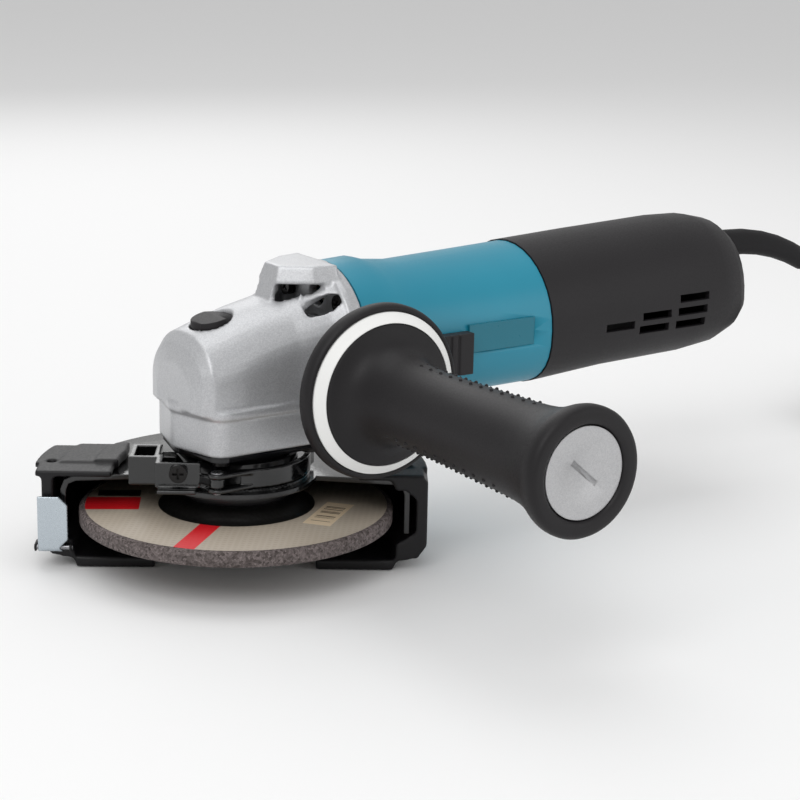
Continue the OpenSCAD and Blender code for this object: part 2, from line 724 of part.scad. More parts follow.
pinion_tip_r = 2.5;
pinion_x = gear_pitch_r * mesh_inner;
pinion_back = bearing_x - 0.8;
module armature_shaft() {
    color("silver") on_motor_axis(0) rotate_extrude() polygon([[0, pinion_x], [pinion_tip_r, pinion_x],
        [pinion_tip_r, gear_pitch_r + 1], [shaft_r, gear_pitch_r + 1], [shaft_r, 157.5], [0, 157.5]]);
}

module pinion() {
    rim = pinion_pitch_r - root_drop;
    color("slategray") {
        on_motor_axis(0) rotate_extrude() polygon([[pinion_tip_r, pinion_x],
            [rim * mesh_inner, pinion_x], [rim, gear_pitch_r], [rim, gear_pitch_r + 0.8],
            [pinion_pitch_r + 0.6, gear_pitch_r + 0.8], [pinion_pitch_r + 0.6, pinion_back],
            [shaft_r, pinion_back],
            [shaft_r, gear_pitch_r + 1], [pinion_tip_r, gear_pitch_r + 1]]);
        translate([0, 0, axis_z]) for (i = [0 : pinion_teeth - 1])
            rotate([360 * i / pinion_teeth, 0, 0]) mirror_tooth();
    }
}
// The pinion's tooth stands on its own side of the pitch cone
module mirror_tooth() {
    cone = norm([gear_pitch_r, pinion_pitch_r]);
    up = [pinion_pitch_r / cone, gear_pitch_r / cone];
    base = [gear_pitch_r, -pinion_pitch_r];
    tip = base - add_h * up;
    root = base + (ded_h + 0.2) * up;
    tip_half = 0.3 * module_size;
    root_half = 0.85 * module_size;
    outer = [[root[0], root_half, root[1]], [root[0], -root_half, root[1]],
        [tip[0], -tip_half, tip[1]], [tip[0], tip_half, tip[1]]];
    points = concat(outer, [for (p = outer) p * mesh_inner]);
    polyhedron(points, [[3, 2, 1, 0], [4, 5, 6, 7], [1, 5, 4, 0], [2, 6, 5, 1], [3, 7, 6, 2],
        [0, 4, 7, 3]]);
}

module armature_core() {
    color("gray") on_motor_axis(stack_x + 1) difference() {
        cylinder(r = armature_r, h = stack_len - 2);
        translate([0, 0, -1]) cylinder(r = shaft_r, h = stack_len);
        for (a = [0 : 30 : 330]) rotate([0, 0, a]) translate([armature_r - 4, -0.7, -1])
            cube([6, 1.4, stack_len]);
    }
}

module armature_windings() {
    color("orangered") on_motor_axis(0) {
        ring_solid(shaft_r, armature_r - 2, stack_x - 6, stack_x + 1);
        ring_solid(shaft_r, armature_r - 2, stack_x + stack_len - 1, stack_x + stack_len + 7);
    }
}

module commutator() {
    color("orange") on_motor_axis(brush_x - 8) ring_solid(shaft_r, commutator_r, 0, 16);
}

fan_r = 23.6;
module fan() {
    color("white") on_motor_axis(45.5) {
        difference() {
            union() {
                cylinder(r = 8, h = 10);
                translate([0, 0, 8]) cylinder(r = fan_r, h = 2);
                for (a = [0 : 36 : 324]) rotate([0, 0, a]) translate([6, -0.8, 1])
                    cube([fan_r - 7, 1.6, 8]);
            }
            translate([0, 0, -1]) cylinder(r = shaft_r, h = 12);
        }
    }
}

module guard_shell() {
    closed_from = (180 - guard_sweep) / 2;
    color("black") in_guard() difference() {
        rotate_extrude() polygon([[24.4, plate_low], [guard_r - 6, plate_low],
            [guard_r - 3, plate_low - 1.2], [guard_r - guard_wall, plate_low - 4],
            [guard_r - guard_wall, skirt_low], [guard_r, skirt_low], [guard_r, plate_top - 5],
            [guard_r - 1.5, plate_top - 1.5], [guard_r - 5, plate_top], [24.4, plate_top]]);
        rotate([0, 0, closed_from + guard_sweep]) rotate_extrude(angle = 360 - guard_sweep)
            translate([32, skirt_low - 5]) square([60, 60]);
    }
}

module guard_collar() {
    color("black") in_guard() difference() {
        union() {
            ring_solid(collar_in, collar_out, plate_top, collar_high);
            ring_solid(collar_in, 29, plate_top, plate_top + 1.4);
        }
        rotate([0, 0, -128]) translate([18, -1.2, plate_top - 1]) cube([14, 2.4, 20]);
    }
}

block_left = -41;
block_right = -29;
module guard_bracket() {
    tall = bracket_high - plate_top;
    color("black") in_guard() difference() {
        union() {
            translate([block_left, -20, plate_top]) cube([block_right - block_left, 18, tall]);
            translate([block_right - 1, -12, plate_top + 3]) cube([8.5, 7, 6.4]);
            translate([block_right - 1, tab_front, plate_top + 1.6]) cube([2.6, 12, tall - 1.6]);
            translate([block_right - 1, tab_front, plate_top + 1.6]) cube([17.5, 1.8, tall - 1.6]);
            translate([block_right, tab_front - 4.6, plate_top + 0.2]) cube([15, 6.4, 1.5]);
            translate([0, 0, lever_low + fork_t + 0.15])
                linear_extrude(lever_high - lever_low - 2 * fork_t - 0.3)
                    polygon([[-13, tab_front + 1.8], [-13, tab_front], [-8.4, -32.6],
                        [-7.2, -35.6], [-4.2, -30.7]]);
            translate([lever_pivot[0], lever_pivot[1], lever_low + fork_t + 0.15])
                cylinder(r = knuckle_r, h = lever_high - lever_low - 2 * fork_t - 0.3);
        }
        translate([block_left + 2.2, -17.8, plate_top + 3])
            cube([block_right - block_left - 4.4, 13.6, tall]);
        cylinder(r = collar_out, h = 60);
        translate([clamp_screw_x, 0, clamp_screw_z]) rotate([90, 0, 0]) cylinder(r = 2.2, h = 40);
        translate([lever_pivot[0], lever_pivot[1], 0]) cylinder(r = lever_axle_r, h = 60);
    }
}

module clamp_screw() {
    color("black") in_guard() translate([clamp_screw_x, tab_front - 2.6, clamp_screw_z])
        rotate([90, 0, 0]) pan_screw(3.5, 2.6, 2, 7.4);
}

module lever_pin() {
    color("black") in_guard() translate([lever_pivot[0], lever_pivot[1], 0]) {
        translate([0, 0, lever_low - 0.9]) cylinder(r = lever_axle_r, h = lever_high - lever_low + 1.2);
        translate([0, 0, lever_high + 0.1]) cylinder(r = 2.5, h = 0.5);
    }
}

lever_start = -84;
lever_arc = 92;
module clamp_lever() {
    color("black") in_guard() difference() {
        union() {
            translate([0, 0, lever_low]) rotate([0, 0, lever_start]) rotate_extrude(angle = lever_arc)
                translate([lever_in, 0]) square([lever_t, lever_high - lever_low]);
            translate([0, 0, lever_low]) rotate([0, 0, lever_start + lever_arc - 0.5])
                translate([lever_in, 0, 0]) rotate([0, 0, -22]) cube([lever_t, 6, lever_high - lever_low]);
            for (z = [lever_low, lever_high - fork_t]) translate([0, 0, z]) linear_extrude(fork_t)
                hull() {
                    translate(lever_pivot) circle(r = knuckle_r + 0.8, $fn = 40);
                    rotate([0, 0, lever_start + 6]) translate([lever_in, -2]) square([lever_t, 4]);
                }
        }
        translate([lever_pivot[0], lever_pivot[1], 0]) cylinder(r = lever_axle_r + run_gap, h = 60);
    }
}

// Section of the cover's wall and floor, drawn for its right side
module cover_section(high) {
    base_r = cover_r - 13.5;
    polygon([[cover_notch_r, floor_z], [base_r, floor_z], [base_r + 1.5, floor_z + 3.6],
        [cover_r - 3.5, floor_z + 5.2], [cover_r, floor_z + 10.4], [cover_r, high],
        [cover_r - cover_wall, high], [cover_r - cover_wall, floor_z + 14],
        [cover_r - 12.4, floor_z + 10.9], [cover_r - 12.7, floor_z + cover_base_t],
        [cover_notch_r, floor_z + cover_base_t]]);
}
// The lip in front of the guard's edge on the right side
module cover_lip() {
    polygon([[cover_r - 15.2, cover_clip_low + 0.7], [cover_r - 12.4, 17.9], [cover_r - 8.5, 18],
        [cover_r - cover_wall, 14.4], [cover_r - cover_wall, 1.1], [cover_r - 8.1, -1.5],
        [cover_r - 12.4, -4.1], [cover_r - 12.4, -5], [cover_r - 1, -5], [cover_r, -4.6],
        [cover_r, plate_top - 1.2], [cover_r - 3, cover_clip_high],
        [cover_r - 15.2, cover_clip_high]]);
}
module cover_clip(side, reach) {
    intersection() {
        union() {
            ring_solid(clip_in_r, reach, cover_clip_low, cover_clip_high);
            ring_solid(clip_in_r, 70, cover_clip_low, cover_clip_high + 0.8);
            ring_solid(clip_in_r, 56, cover_clip_low, cover_clip_high + 1.6);
            ring_solid(cover_r - cover_wall, cover_r, 16, cover_clip_low + 0.1);
        }
        translate([side > 0 ? 45 : -82, -0.1, 0]) cube([37, 26, 60]);
    }
    // The part in front of the spindle's axis runs straight
    mirror([side > 0 ? 0 : 1, 0, 0]) translate([0, -cover_front, 0]) {
        translate([clip_in_r + 1.5, 0, cover_clip_low]) cube([reach - clip_in_r - 3, cover_front, 2.4]);
        translate([cover_r - cover_wall, 0, 16]) cube([cover_wall, cover_front, cover_clip_low - 15.9]);
    }
}
module cutting_cover() {
    latch_mid = (latch_left + latch_right) / 2;
    color("dimgray") in_guard() difference() {
        union() {
            rotate_extrude(angle = 180) cover_section(17);
            for (side = [0, 1]) mirror([side, 0, 0]) rotate([90, 0, 0])
                linear_extrude(cover_front) cover_section(17);
            cover_clip(1, cover_r);
            cover_clip(-1, cover_lug_r);
            translate([0, -cover_front + 2, 0]) rotate([90, 0, 0]) linear_extrude(2) cover_lip();
            translate([latch_left - 1.6, -cover_front, latch_axle_z - 1.8]) cube([4, 4, 3.6]);
            for (x = [latch_left - 1.6, latch_right + 0.3])
                translate([x, latch_axle_y - 1.8, latch_axle_z - 1.8]) cube([1.3, 4, 3.6]);
        }
        translate([-73.8, 2.9, cover_clip_low - 1]) cylinder(r = 1.9, h = 5);
        translate([-90, latch_axle_y, latch_axle_z]) rotate([0, 90, 0])
            cylinder(r = latch_axle_r, h = 40);
    }
}

module latch_pin() {
    color("silver") in_guard() translate([latch_left - 1.6, latch_axle_y, latch_axle_z])
        rotate([0, 90, 0]) cylinder(r = latch_axle_r, h = latch_right - latch_left + 3.2);
}

module cover_latch() {
    color("gainsboro") in_guard() difference() {
        union() {
            translate([latch_left, latch_axle_y, latch_axle_z]) rotate([0, 90, 0])
                cylinder(r = 1.7, h = latch_right - latch_left);
            translate([latch_left, latch_axle_y - 1.7, latch_axle_z])
                rotate([90, 0, 90]) linear_extrude(latch_right - latch_left)
                    polygon([[0, 0], [1.6, 0], [1.6, latch_h], [0, latch_h]]);
        }
        translate([latch_left - 1, latch_axle_y, latch_axle_z]) rotate([0, 90, 0])
            cylinder(r = latch_axle_r + run_gap, h = 40);
        for (z = [latch_axle_z, latch_axle_z + latch_h]) translate([latch_right, 0, z])
            rotate([0, 45, 0]) cube([5, 60, 5], center = true);
    }
}

module switch_knob() {
    color("black") difference() {
        union() {
            translate([knob_x, knob_in_y - 5, knob_z]) cube([knob_len, 5, knob_h]);
            translate([stem_x, knob_in_y - 1, stem_z]) cube([8, rod_y - knob_in_y + 1, 4]);
        }
        for (i = [0 : 2]) translate([knob_x + 6 + 4 * i, knob_in_y - 5.4, knob_z - 1])
            cube([1.4, 1, knob_h + 2]);
    }
}

module switch_rod() {
    color("black") translate([stem_x, rod_y, stem_z]) cube([switch_x - stem_x - 8, rod_t, 4]);
}

module lock_button() {
    color("black") translate([button_x, 0, button_low]) difference() {
        cylinder(r = button_r, h = button_top - button_low);
        translate([-button_r - 1, -20, button_top - button_low - 2.2]) rotate([0, -12, 0])
            cube([30, 40, 10]);
    }
}

module lock_pin() {
    color("silver") translate([lock_x, 0, gear_web_top + 1])
        cylinder(r = lock_pin_r, h = button_low - gear_web_top - 1);
}

gear_housing();
bearing_box();
box_screws();
housing_screws();
motor_housing();
rear_cover();
cover_screw();
label_plate();
field_core();
field_coils();
brush_holders();
carbon_brushes();
brush_springs();
switch_block();
air_baffle();
cord_clamp();
cord_guard();
lock_spring();
upper_bearing();
lower_bearing();
front_bearing();
rear_bearing();
handle_stud();
handle_collar();
handle_grip();
handle_ring();
handle_cap();
cord_lead();
cord_coil();
plug_boot();
plug_body();
plug_pins();
spindle();
bevel_gear();
inner_flange();
grinding_wheel();
lock_nut();
armature_shaft();
armature_core();
armature_windings();
commutator();
fan();
pinion();
guard_shell();
guard_collar();
guard_bracket();
clamp_screw();
lever_pin();
cutting_cover();
latch_pin();
clamp_lever();
cover_latch();
switch_knob();
switch_rod();
lock_button();
lock_pin();
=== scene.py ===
import json
import math

import bmesh
import bpy
from mathutils import Matrix, Vector


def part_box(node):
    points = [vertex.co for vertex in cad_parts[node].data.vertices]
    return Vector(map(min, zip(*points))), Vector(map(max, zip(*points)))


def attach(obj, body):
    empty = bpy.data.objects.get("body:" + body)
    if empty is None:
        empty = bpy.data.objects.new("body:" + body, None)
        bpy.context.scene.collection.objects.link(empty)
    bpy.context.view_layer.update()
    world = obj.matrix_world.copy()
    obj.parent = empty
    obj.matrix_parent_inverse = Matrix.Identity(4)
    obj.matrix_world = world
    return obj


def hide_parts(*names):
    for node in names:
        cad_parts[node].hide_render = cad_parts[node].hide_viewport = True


bl_info = {
    "name": "Angle grinder",
    "version": (1, 0, 0),
    "blender": (4, 5, 0),
    "location": "View3D > Sidebar > Grinder",
    "description": "Builds a corded angle grinder with a side handle, guard and cutting wheel",
    "category": "Add Mesh",
}

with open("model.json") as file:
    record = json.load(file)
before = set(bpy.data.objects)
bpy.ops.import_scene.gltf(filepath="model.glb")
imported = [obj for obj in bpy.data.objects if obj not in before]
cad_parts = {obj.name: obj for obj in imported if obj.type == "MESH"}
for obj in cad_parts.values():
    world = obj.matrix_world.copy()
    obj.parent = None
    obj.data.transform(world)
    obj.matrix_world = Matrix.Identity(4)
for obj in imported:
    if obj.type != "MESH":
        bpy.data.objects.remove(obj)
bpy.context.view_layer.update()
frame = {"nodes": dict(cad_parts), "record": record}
NODES = frame["nodes"]
MM = 0.001


def linear(hex_code, alpha=1.0):
    """An sRGB hex colour as the linear values that the shader sockets take."""
    out = []
    for i in (0, 2, 4):
        c = int(hex_code[i:i + 2], 16) / 255
        out.append(c / 12.92 if c <= 0.04045 else ((c + 0.055) / 1.055) ** 2.4)
    return (*out, alpha)


def lower_corner(node):
    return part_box(node)[0]


def upper_corner(node):
    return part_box(node)[1]


# ---------------------------------------------------------------- settings

class GrinderCord(bpy.types.PropertyGroup):
    diameter: bpy.props.FloatProperty(
        name="Cord diameter", description="Outside diameter of the mains cord",
        default=0.008, min=0.005, max=0.01, unit="LENGTH")
    length: bpy.props.FloatProperty(
        name="Cord length", description="From the strain relief to the plug's boot",
        default=2.26, min=1.0, max=4.0, unit="LENGTH")


class GrinderHandle(bpy.types.PropertyGroup):
    knob_radius: bpy.props.FloatProperty(
        name="Grip dot radius", description="Radius of each raised rubber dot on the grip",
        default=0.0008, min=0.0003, max=0.002, unit="LENGTH")
    knob_pitch: bpy.props.FloatProperty(
        name="Grip dot pitch", description="Distance from dot to dot along the grip",
        default=0.0062, min=0.003, max=0.012, unit="LENGTH")


class GrinderCasting(bpy.types.PropertyGroup):
    grain: bpy.props.FloatProperty(
        name="Casting detail", description="Cell size used to round the edges of castings",
        default=0.0007, min=0.0004, max=0.002, unit="LENGTH")


class GrinderStage(bpy.types.PropertyGroup):
    floor_size: bpy.props.FloatProperty(
        name="Floor size", description="Side of the square floor",
        default=16.0, min=2.0, max=40.0, unit="LENGTH")
    floor_colour: bpy.props.FloatVectorProperty(
        name="Floor colour", description="Colour of the floor and the room",
        default=(0.9, 0.9, 0.9), min=0.0, max=1.0, subtype="COLOR", size=3)
    lens: bpy.props.FloatProperty(
        name="Camera lens", description="Focal length on a 36 mm sensor, in millimetres",
        default=97.96, min=20.0, max=300.0)


# --------------------------------------------------------------- materials

def add(tree, kind, values=None, links=None, **settings):
    """Adds a node with its settings, input values and incoming links."""
    made = tree.nodes.new(kind)
    for key, value in settings.items():
        setattr(made, key, value)
    for key, value in (values or {}).items():
        made.inputs[key].default_value = value
    for key, (source, output) in (links or {}).items():
        tree.links.new(source.outputs[output], made.inputs[key])
    return made


def new_material(name):
    mat = bpy.data.materials.new(name)
    mat.use_nodes = True
    mat.node_tree.nodes.clear()
    return mat, mat.node_tree


def close(tree, shader):
    add(tree, "ShaderNodeOutputMaterial", links={"Surface": (shader, "BSDF")})


def surface(name, colour, dark, roughness, spread, cell, depth, metallic=0.0, edge=0.0004,
            mottle=12.0, ior=1.5, coat=0.0, shine=0.5):
    """A solid finish: colour drifting between two tones, and grain of a real cell size.

    cell is the grain in metres, depth its height in metres, and spread how far the roughness
    wanders from its middle value.
    """
    mat, tree = new_material(name)
    place = add(tree, "ShaderNodeTexCoord")
    drift = add(tree, "ShaderNodeTexNoise", {"Scale": mottle, "Detail": 3.0},
                {"Vector": (place, "Object")})
    grain = add(tree, "ShaderNodeTexNoise", {"Scale": 1 / cell, "Detail": 2.0, "Roughness": 0.6},
                {"Vector": (place, "Object")})
    tone = add(tree, "ShaderNodeMapRange", {"From Min": 0.3, "From Max": 0.7}, {"Value": (drift, "Fac")})
    blend = add(tree, "ShaderNodeMix", {"A": linear(colour), "B": linear(dark)}, data_type="RGBA")
    tree.links.new(tone.outputs["Result"], blend.inputs["Factor"])
    mix = add(tree, "ShaderNodeMath", {1: 0.5}, {0: (grain, "Fac")}, operation="MULTIPLY")
    both = add(tree, "ShaderNodeMath", {1: 0.5}, {0: (mix, "Value")}, operation="ADD")
    rough = add(tree, "ShaderNodeMapRange",
                {"From Min": 0.6, "From Max": 0.9, "To Min": roughness - spread,
                 "To Max": roughness + spread}, {"Value": (both, "Value")})
    rounded = add(tree, "ShaderNodeBevel", {"Radius": edge}, samples=4)
    relief = add(tree, "ShaderNodeBump", {"Strength": 1.0, "Distance": depth},
                 {"Height": (grain, "Fac"), "Normal": (rounded, "Normal")})
    shader = add(tree, "ShaderNodeBsdfPrincipled",
                 {"Metallic": metallic, "IOR": ior, "Coat Weight": coat, "Coat Roughness": 0.12,
                  "Specular IOR Level": shine},
                 {"Roughness": (rough, "Result"), "Normal": (relief, "Normal")})
    tree.links.new(blend.outputs["Result"], shader.inputs["Base Color"])
    close(tree, shader)
    return mat


def flake_paint(name, colour, dark, roughness, cell):
    """Silver lacquer: tiny bright flakes of aluminium in a satin clear film."""
    mat, tree = new_material(name)
    place = add(tree, "ShaderNodeTexCoord")
    flake = add(tree, "ShaderNodeTexVoronoi", {"Scale": 1 / cell}, {"Vector": (place, "Object")})
    cloud = add(tree, "ShaderNodeTexNoise", {"Scale": 40.0, "Detail": 4.0}, {"Vector": (place, "Object")})
    grey = add(tree, "ShaderNodeSeparateColor", links={"Color": (flake, "Color")})
    glint = add(tree, "ShaderNodeMapRange", {"To Min": 0.0, "To Max": 1.0}, {"Value": (grey, "Red")})
    blend = add(tree, "ShaderNodeMix", {"A": linear(dark), "B": linear(colour)}, data_type="RGBA")
    tree.links.new(glint.outputs["Result"], blend.inputs["Factor"])
    rough = add(tree, "ShaderNodeMapRange", {"To Min": roughness - 0.06, "To Max": roughness + 0.08},
                {"Value": (cloud, "Fac")})
    rounded = add(tree, "ShaderNodeBevel", {"Radius": 0.0006}, samples=4)
    relief = add(tree, "ShaderNodeBump", {"Strength": 0.6, "Distance": 0.00004},
                 {"Height": (grey, "Green"), "Normal": (rounded, "Normal")})
    shader = add(tree, "ShaderNodeBsdfPrincipled",
                 {"Metallic": 0.55, "Coat Weight": 0.25, "Coat Roughness": 0.25},
                 {"Roughness": (rough, "Result"), "Normal": (relief, "Normal")})
    tree.links.new(blend.outputs["Result"], shader.inputs["Base Color"])
    close(tree, shader)
    return mat


def patch(tree, place, centre, turn, half, soft=0.0):
    """1 inside a rectangle on the wheel's face, given in metres and degrees."""
    local = add(tree, "ShaderNodeMapping",
                {"Location": (centre[0], centre[1], 0), "Rotation": (0, 0, math.radians(turn))},
                {"Vector": (place, "Object")}, vector_type="TEXTURE")
    parts = add(tree, "ShaderNodeSeparateXYZ", links={"Vector": (local, "Vector")})
    sides = []
    for axis, reach in zip("XY", half):
        size = add(tree, "ShaderNodeMath", links={0: (parts, axis)}, operation="ABSOLUTE")
        sides.append(add(tree, "ShaderNodeMath", {1: reach}, {0: (size, "Value")},
                         operation="LESS_THAN"))
    both = add(tree, "ShaderNodeMath", links={0: (sides[0], "Value"), 1: (sides[1], "Value")},
               operation="MULTIPLY")
    return both, parts


def wheel_material():
    """Resin-bonded aluminium oxide: sparkling grit, a woven net, and a printed paper face."""
    mat, tree = new_material("resin_bonded_grit")
    place = add(tree, "ShaderNodeTexCoord")
    xyz = add(tree, "ShaderNodeSeparateXYZ", links={"Vector": (place, "Object")})
    flat = add(tree, "ShaderNodeCombineXYZ", links={"X": (xyz, "X"), "Y": (xyz, "Y")})
    radius = add(tree, "ShaderNodeVectorMath", links={0: (flat, "Vector")}, operation="LENGTH")
    grit = add(tree, "ShaderNodeTexVoronoi", {"Scale": 1 / 0.0009}, {"Vector": (place, "Object")})
    fine = add(tree, "ShaderNodeTexNoise", {"Scale": 1 / 0.0005, "Detail": 3.0},
               {"Vector": (place, "Object")})
    cell = add(tree, "ShaderNodeSeparateColor", links={"Color": (grit, "Color")})
    grain = add(tree, "ShaderNodeMix", {"A": linear("3a302d"), "B": linear("9a8d8c")}, data_type="RGBA")
    tint = add(tree, "ShaderNodeMath", links={0: (cell, "Red"), 1: (fine, "Fac")}, operation="MULTIPLY")
    tree.links.new(tint.outputs["Value"], grain.inputs["Factor"])
    # The paper label, with the net showing through as crossed threads 2.4 mm apart
    threads = []
    for turn in (38, -52):
        along = add(tree, "ShaderNodeMapping", {"Rotation": (0, 0, math.radians(turn))},
                    {"Vector": (place, "Object")})
        threads.append(add(tree, "ShaderNodeTexWave", {"Scale": 0.314 / 0.0024, "Distortion": 0.4},
                           {"Vector": (along, "Vector")}))
    net = add(tree, "ShaderNodeMath", links={0: (threads[0], "Fac"), 1: (threads[1], "Fac")},
              operation="MAXIMUM")
    paper = add(tree, "ShaderNodeMix", {"A": linear("a39788"), "B": linear("ada293")}, data_type="RGBA")
    tree.links.new(net.outputs["Value"], paper.inputs["Factor"])
    layer = paper
    marks = [((-0.0430, 0.0240), 149, (0.0108, 0.0080), "c8141c"),
             ((-0.0345, 0.0345), 149, (0.0085, 0.0040), "17130f"),
             ((-0.0347, -0.0298), 40.7, (0.0160, 0.0042), "cf1520"),
             ((0.0235, -0.0316), 38.1, (0.0145, 0.0057), "d3bfa2")]
    for centre, turn, half, colour in marks:
        mask, local = patch(tree, place, centre, turn, half)
        covered = add(tree, "ShaderNodeMix", {"B": linear(colour)}, data_type="RGBA")
        tree.links.new(layer.outputs["Result"], covered.inputs["A"])
        tree.links.new(mask.outputs["Value"], covered.inputs["Factor"])
        layer = covered
    # Plain bars on the pale sticker
    mask, local = patch(tree, place, (0.0240, -0.0312), 38.1, (0.0105, 0.0040))
    bars = add(tree, "ShaderNodeTexNoise", {"Scale": 1 / 0.0011, "Detail": 0.0},
               {"W": (local, "X")}, noise_dimensions="1D")
    dark = add(tree, "ShaderNodeMath", {1: 0.55}, {0: (bars, "Fac")}, operation="GREATER_THAN")
    shown = add(tree, "ShaderNodeMath", links={0: (mask, "Value"), 1: (dark, "Value")},
                operation="MULTIPLY")
    barred = add(tree, "ShaderNodeMix", {"B": linear("4a3d33")}, data_type="RGBA")
    tree.links.new(layer.outputs["Result"], barred.inputs["A"])
    tree.links.new(shown.outputs["Value"], barred.inputs["Factor"])
    # Black centre disc, then paper out to the rim of bare grit
    middle = add(tree, "ShaderNodeMath", {1: 0.0312}, {0: (radius, "Value")}, operation="LESS_THAN")
    centred = add(tree, "ShaderNodeMix", {"B": linear("0c0b0a")}, data_type="RGBA")
    tree.links.new(barred.outputs["Result"], centred.inputs["A"])
    tree.links.new(middle.outputs["Value"], centred.inputs["Factor"])
    inside = add(tree, "ShaderNodeMath", {1: 0.0601}, {0: (radius, "Value")}, operation="LESS_THAN")
    above = add(tree, "ShaderNodeMath", {1: 0.0085}, {0: (xyz, "Z")}, operation="GREATER_THAN")
    printed = add(tree, "ShaderNodeMath", links={0: (inside, "Value"), 1: (above, "Value")},
                  operation="MULTIPLY")
    below = add(tree, "ShaderNodeMath", {1: 0.0035}, {0: (xyz, "Z")}, operation="LESS_THAN")
    faced = add(tree, "ShaderNodeMath", links={0: (inside, "Value"), 1: (below, "Value")},
                operation="MULTIPLY")
    dull = add(tree, "ShaderNodeMath", {1: 0.35}, {0: (faced, "Value")}, operation="MULTIPLY")
    under = add(tree, "ShaderNodeMix", {"B": linear("8d8377")}, data_type="RGBA")
    tree.links.new(grain.outputs["Result"], under.inputs["A"])
    tree.links.new(dull.outputs["Value"], under.inputs["Factor"])
    final = add(tree, "ShaderNodeMix", data_type="RGBA")
    tree.links.new(under.outputs["Result"], final.inputs["A"])
    tree.links.new(centred.outputs["Result"], final.inputs["B"])
    tree.links.new(printed.outputs["Value"], final.inputs["Factor"])
    bare = add(tree, "ShaderNodeMath", {0: 1.0}, {1: (printed, "Value")}, operation="SUBTRACT")
    high = add(tree, "ShaderNodeMath", links={0: (grit, "Distance"), 1: (bare, "Value")},
               operation="MULTIPLY")
    low = add(tree, "ShaderNodeMath", {1: 0.08}, {0: (net, "Value")}, operation="MULTIPLY")
    height = add(tree, "ShaderNodeMath", links={0: (high, "Value"), 1: (low, "Value")}, operation="ADD")
    relief = add(tree, "ShaderNodeBump", {"Strength": 1.0, "Distance": 0.0006},
                 {"Height": (height, "Value")})
    rough = add(tree, "ShaderNodeMapRange", {"To Min": 0.75, "To Max": 0.42}, {"Value": (printed, "Value")})
    shader = add(tree, "ShaderNodeBsdfPrincipled", {"IOR": 1.6},
                 {"Roughness": (rough, "Result"), "Normal": (relief, "Normal")})
    tree.links.new(final.outputs["Result"], shader.inputs["Base Color"])
    close(tree, shader)
    return mat


